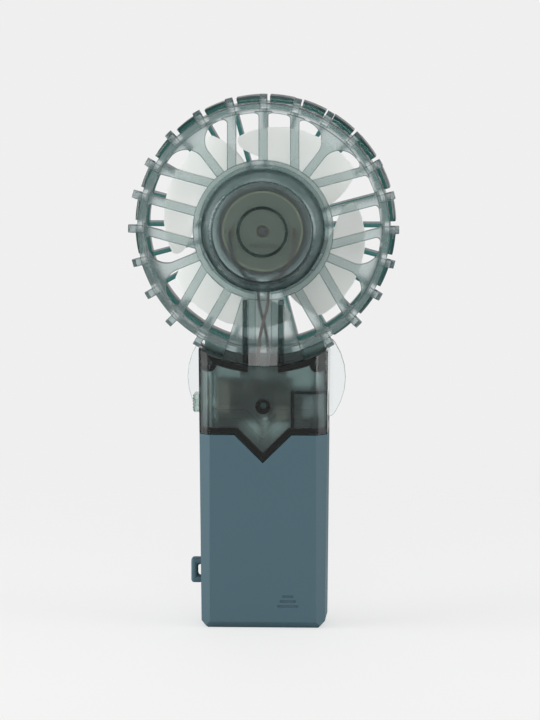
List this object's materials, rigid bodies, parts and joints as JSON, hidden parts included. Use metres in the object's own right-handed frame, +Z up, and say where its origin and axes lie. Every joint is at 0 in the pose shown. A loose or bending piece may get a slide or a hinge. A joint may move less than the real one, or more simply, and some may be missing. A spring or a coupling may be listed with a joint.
{
  "type": "hand-held rechargeable fan",
  "caption": "Hand-held rechargeable mini fan with a teal sleeve, a smoke-clear neck and guard, a white impeller and a slide switch, standing on its flat foot.",
  "frame": {"origin": "middle of the flat foot", "axes": "+Z up along the handle, +Y the way the air leaves, -X the side with the switch and the lanyard eye"},
  "size_m": [0.0818, 0.0285, 0.162],
  "materials": {
    "teal_sleeve": "satin moulded ABS",
    "smoke_clear": "polished smoke-tinted clear plastic",
    "clear_plate": "polished clear acrylic",
    "white_blade": "satin translucent white plastic",
    "motor_steel": "plated steel",
    "shaft_steel": "ground steel",
    "core_steel": "stacked steel sheets",
    "screw_steel": "plated steel",
    "black_plastic": "matt black",
    "ivory_nylon": "unpigmented nylon",
    "white_acetal": "natural acetal",
    "ferrite": "sintered ferrite",
    "brass_part": "bright brass",
    "copper_wire": "enamelled copper",
    "red_wire": "red insulation",
    "black_wire": "black insulation",
    "green_board": "solder-masked laminate",
    "solder_parts": "ceramic chips and solder",
    "led_lens": "clear resin",
    "socket_steel": "drawn stainless steel",
    "switch_tin": "tinned steel",
    "clear_knob": "clear plastic",
    "cell_foil": "laminated foil pouch",
    "dark_foam": "open-cell foam"
  },
  "bodies": {
    "body": {"handle_sleeve": "teal_sleeve", "lanyard_eye": "teal_sleeve", "housing_rear": "smoke_clear", "housing_front": "smoke_clear", "housing_screws": "screw_steel", "front_plate": "clear_plate", "rear_grille": "smoke_clear", "wire_cover": "smoke_clear", "head_drum": "clear_plate", "motor_cap": "smoke_clear", "front_grille": "smoke_clear", "front_badge": "teal_sleeve", "motor_can": "motor_steel", "motor_end_cap": "ivory_nylon", "motor_terminals": "brass_part", "motor_bushes": "brass_part", "motor_magnets": "ferrite", "motor_wire_red": "red_wire", "motor_wire_black": "black_wire", "circuit_board": "green_board", "board_parts": "solder_parts", "control_chip": "black_plastic", "charge_led": "led_lens", "charging_socket": "socket_steel", "socket_tongue": "black_plastic", "switch_frame": "switch_tin", "battery_cell": "cell_foil", "cell_board": "green_board", "battery_leads": "red_wire", "battery_foam": "dark_foam"},
    "rotor": {"fan_blade": "white_blade", "motor_shaft": "shaft_steel", "motor_armature": "core_steel", "motor_windings": "copper_wire", "motor_commutator": "copper_wire"},
    "switch": {"slide_knob": "clear_knob", "switch_slider": "white_acetal"}
  },
  "joints": [
    {"name": "fan_spin", "type": "hinge", "parent": "body", "child": "rotor", "pos_m": [0, 0, 0.1211], "axis": [0, 1, 0], "continuous": true},
    {"name": "switch_slide", "type": "slide", "parent": "body", "child": "switch", "axis": [0, 0, 1], "range_m": [0, 0.004]}
  ]
}
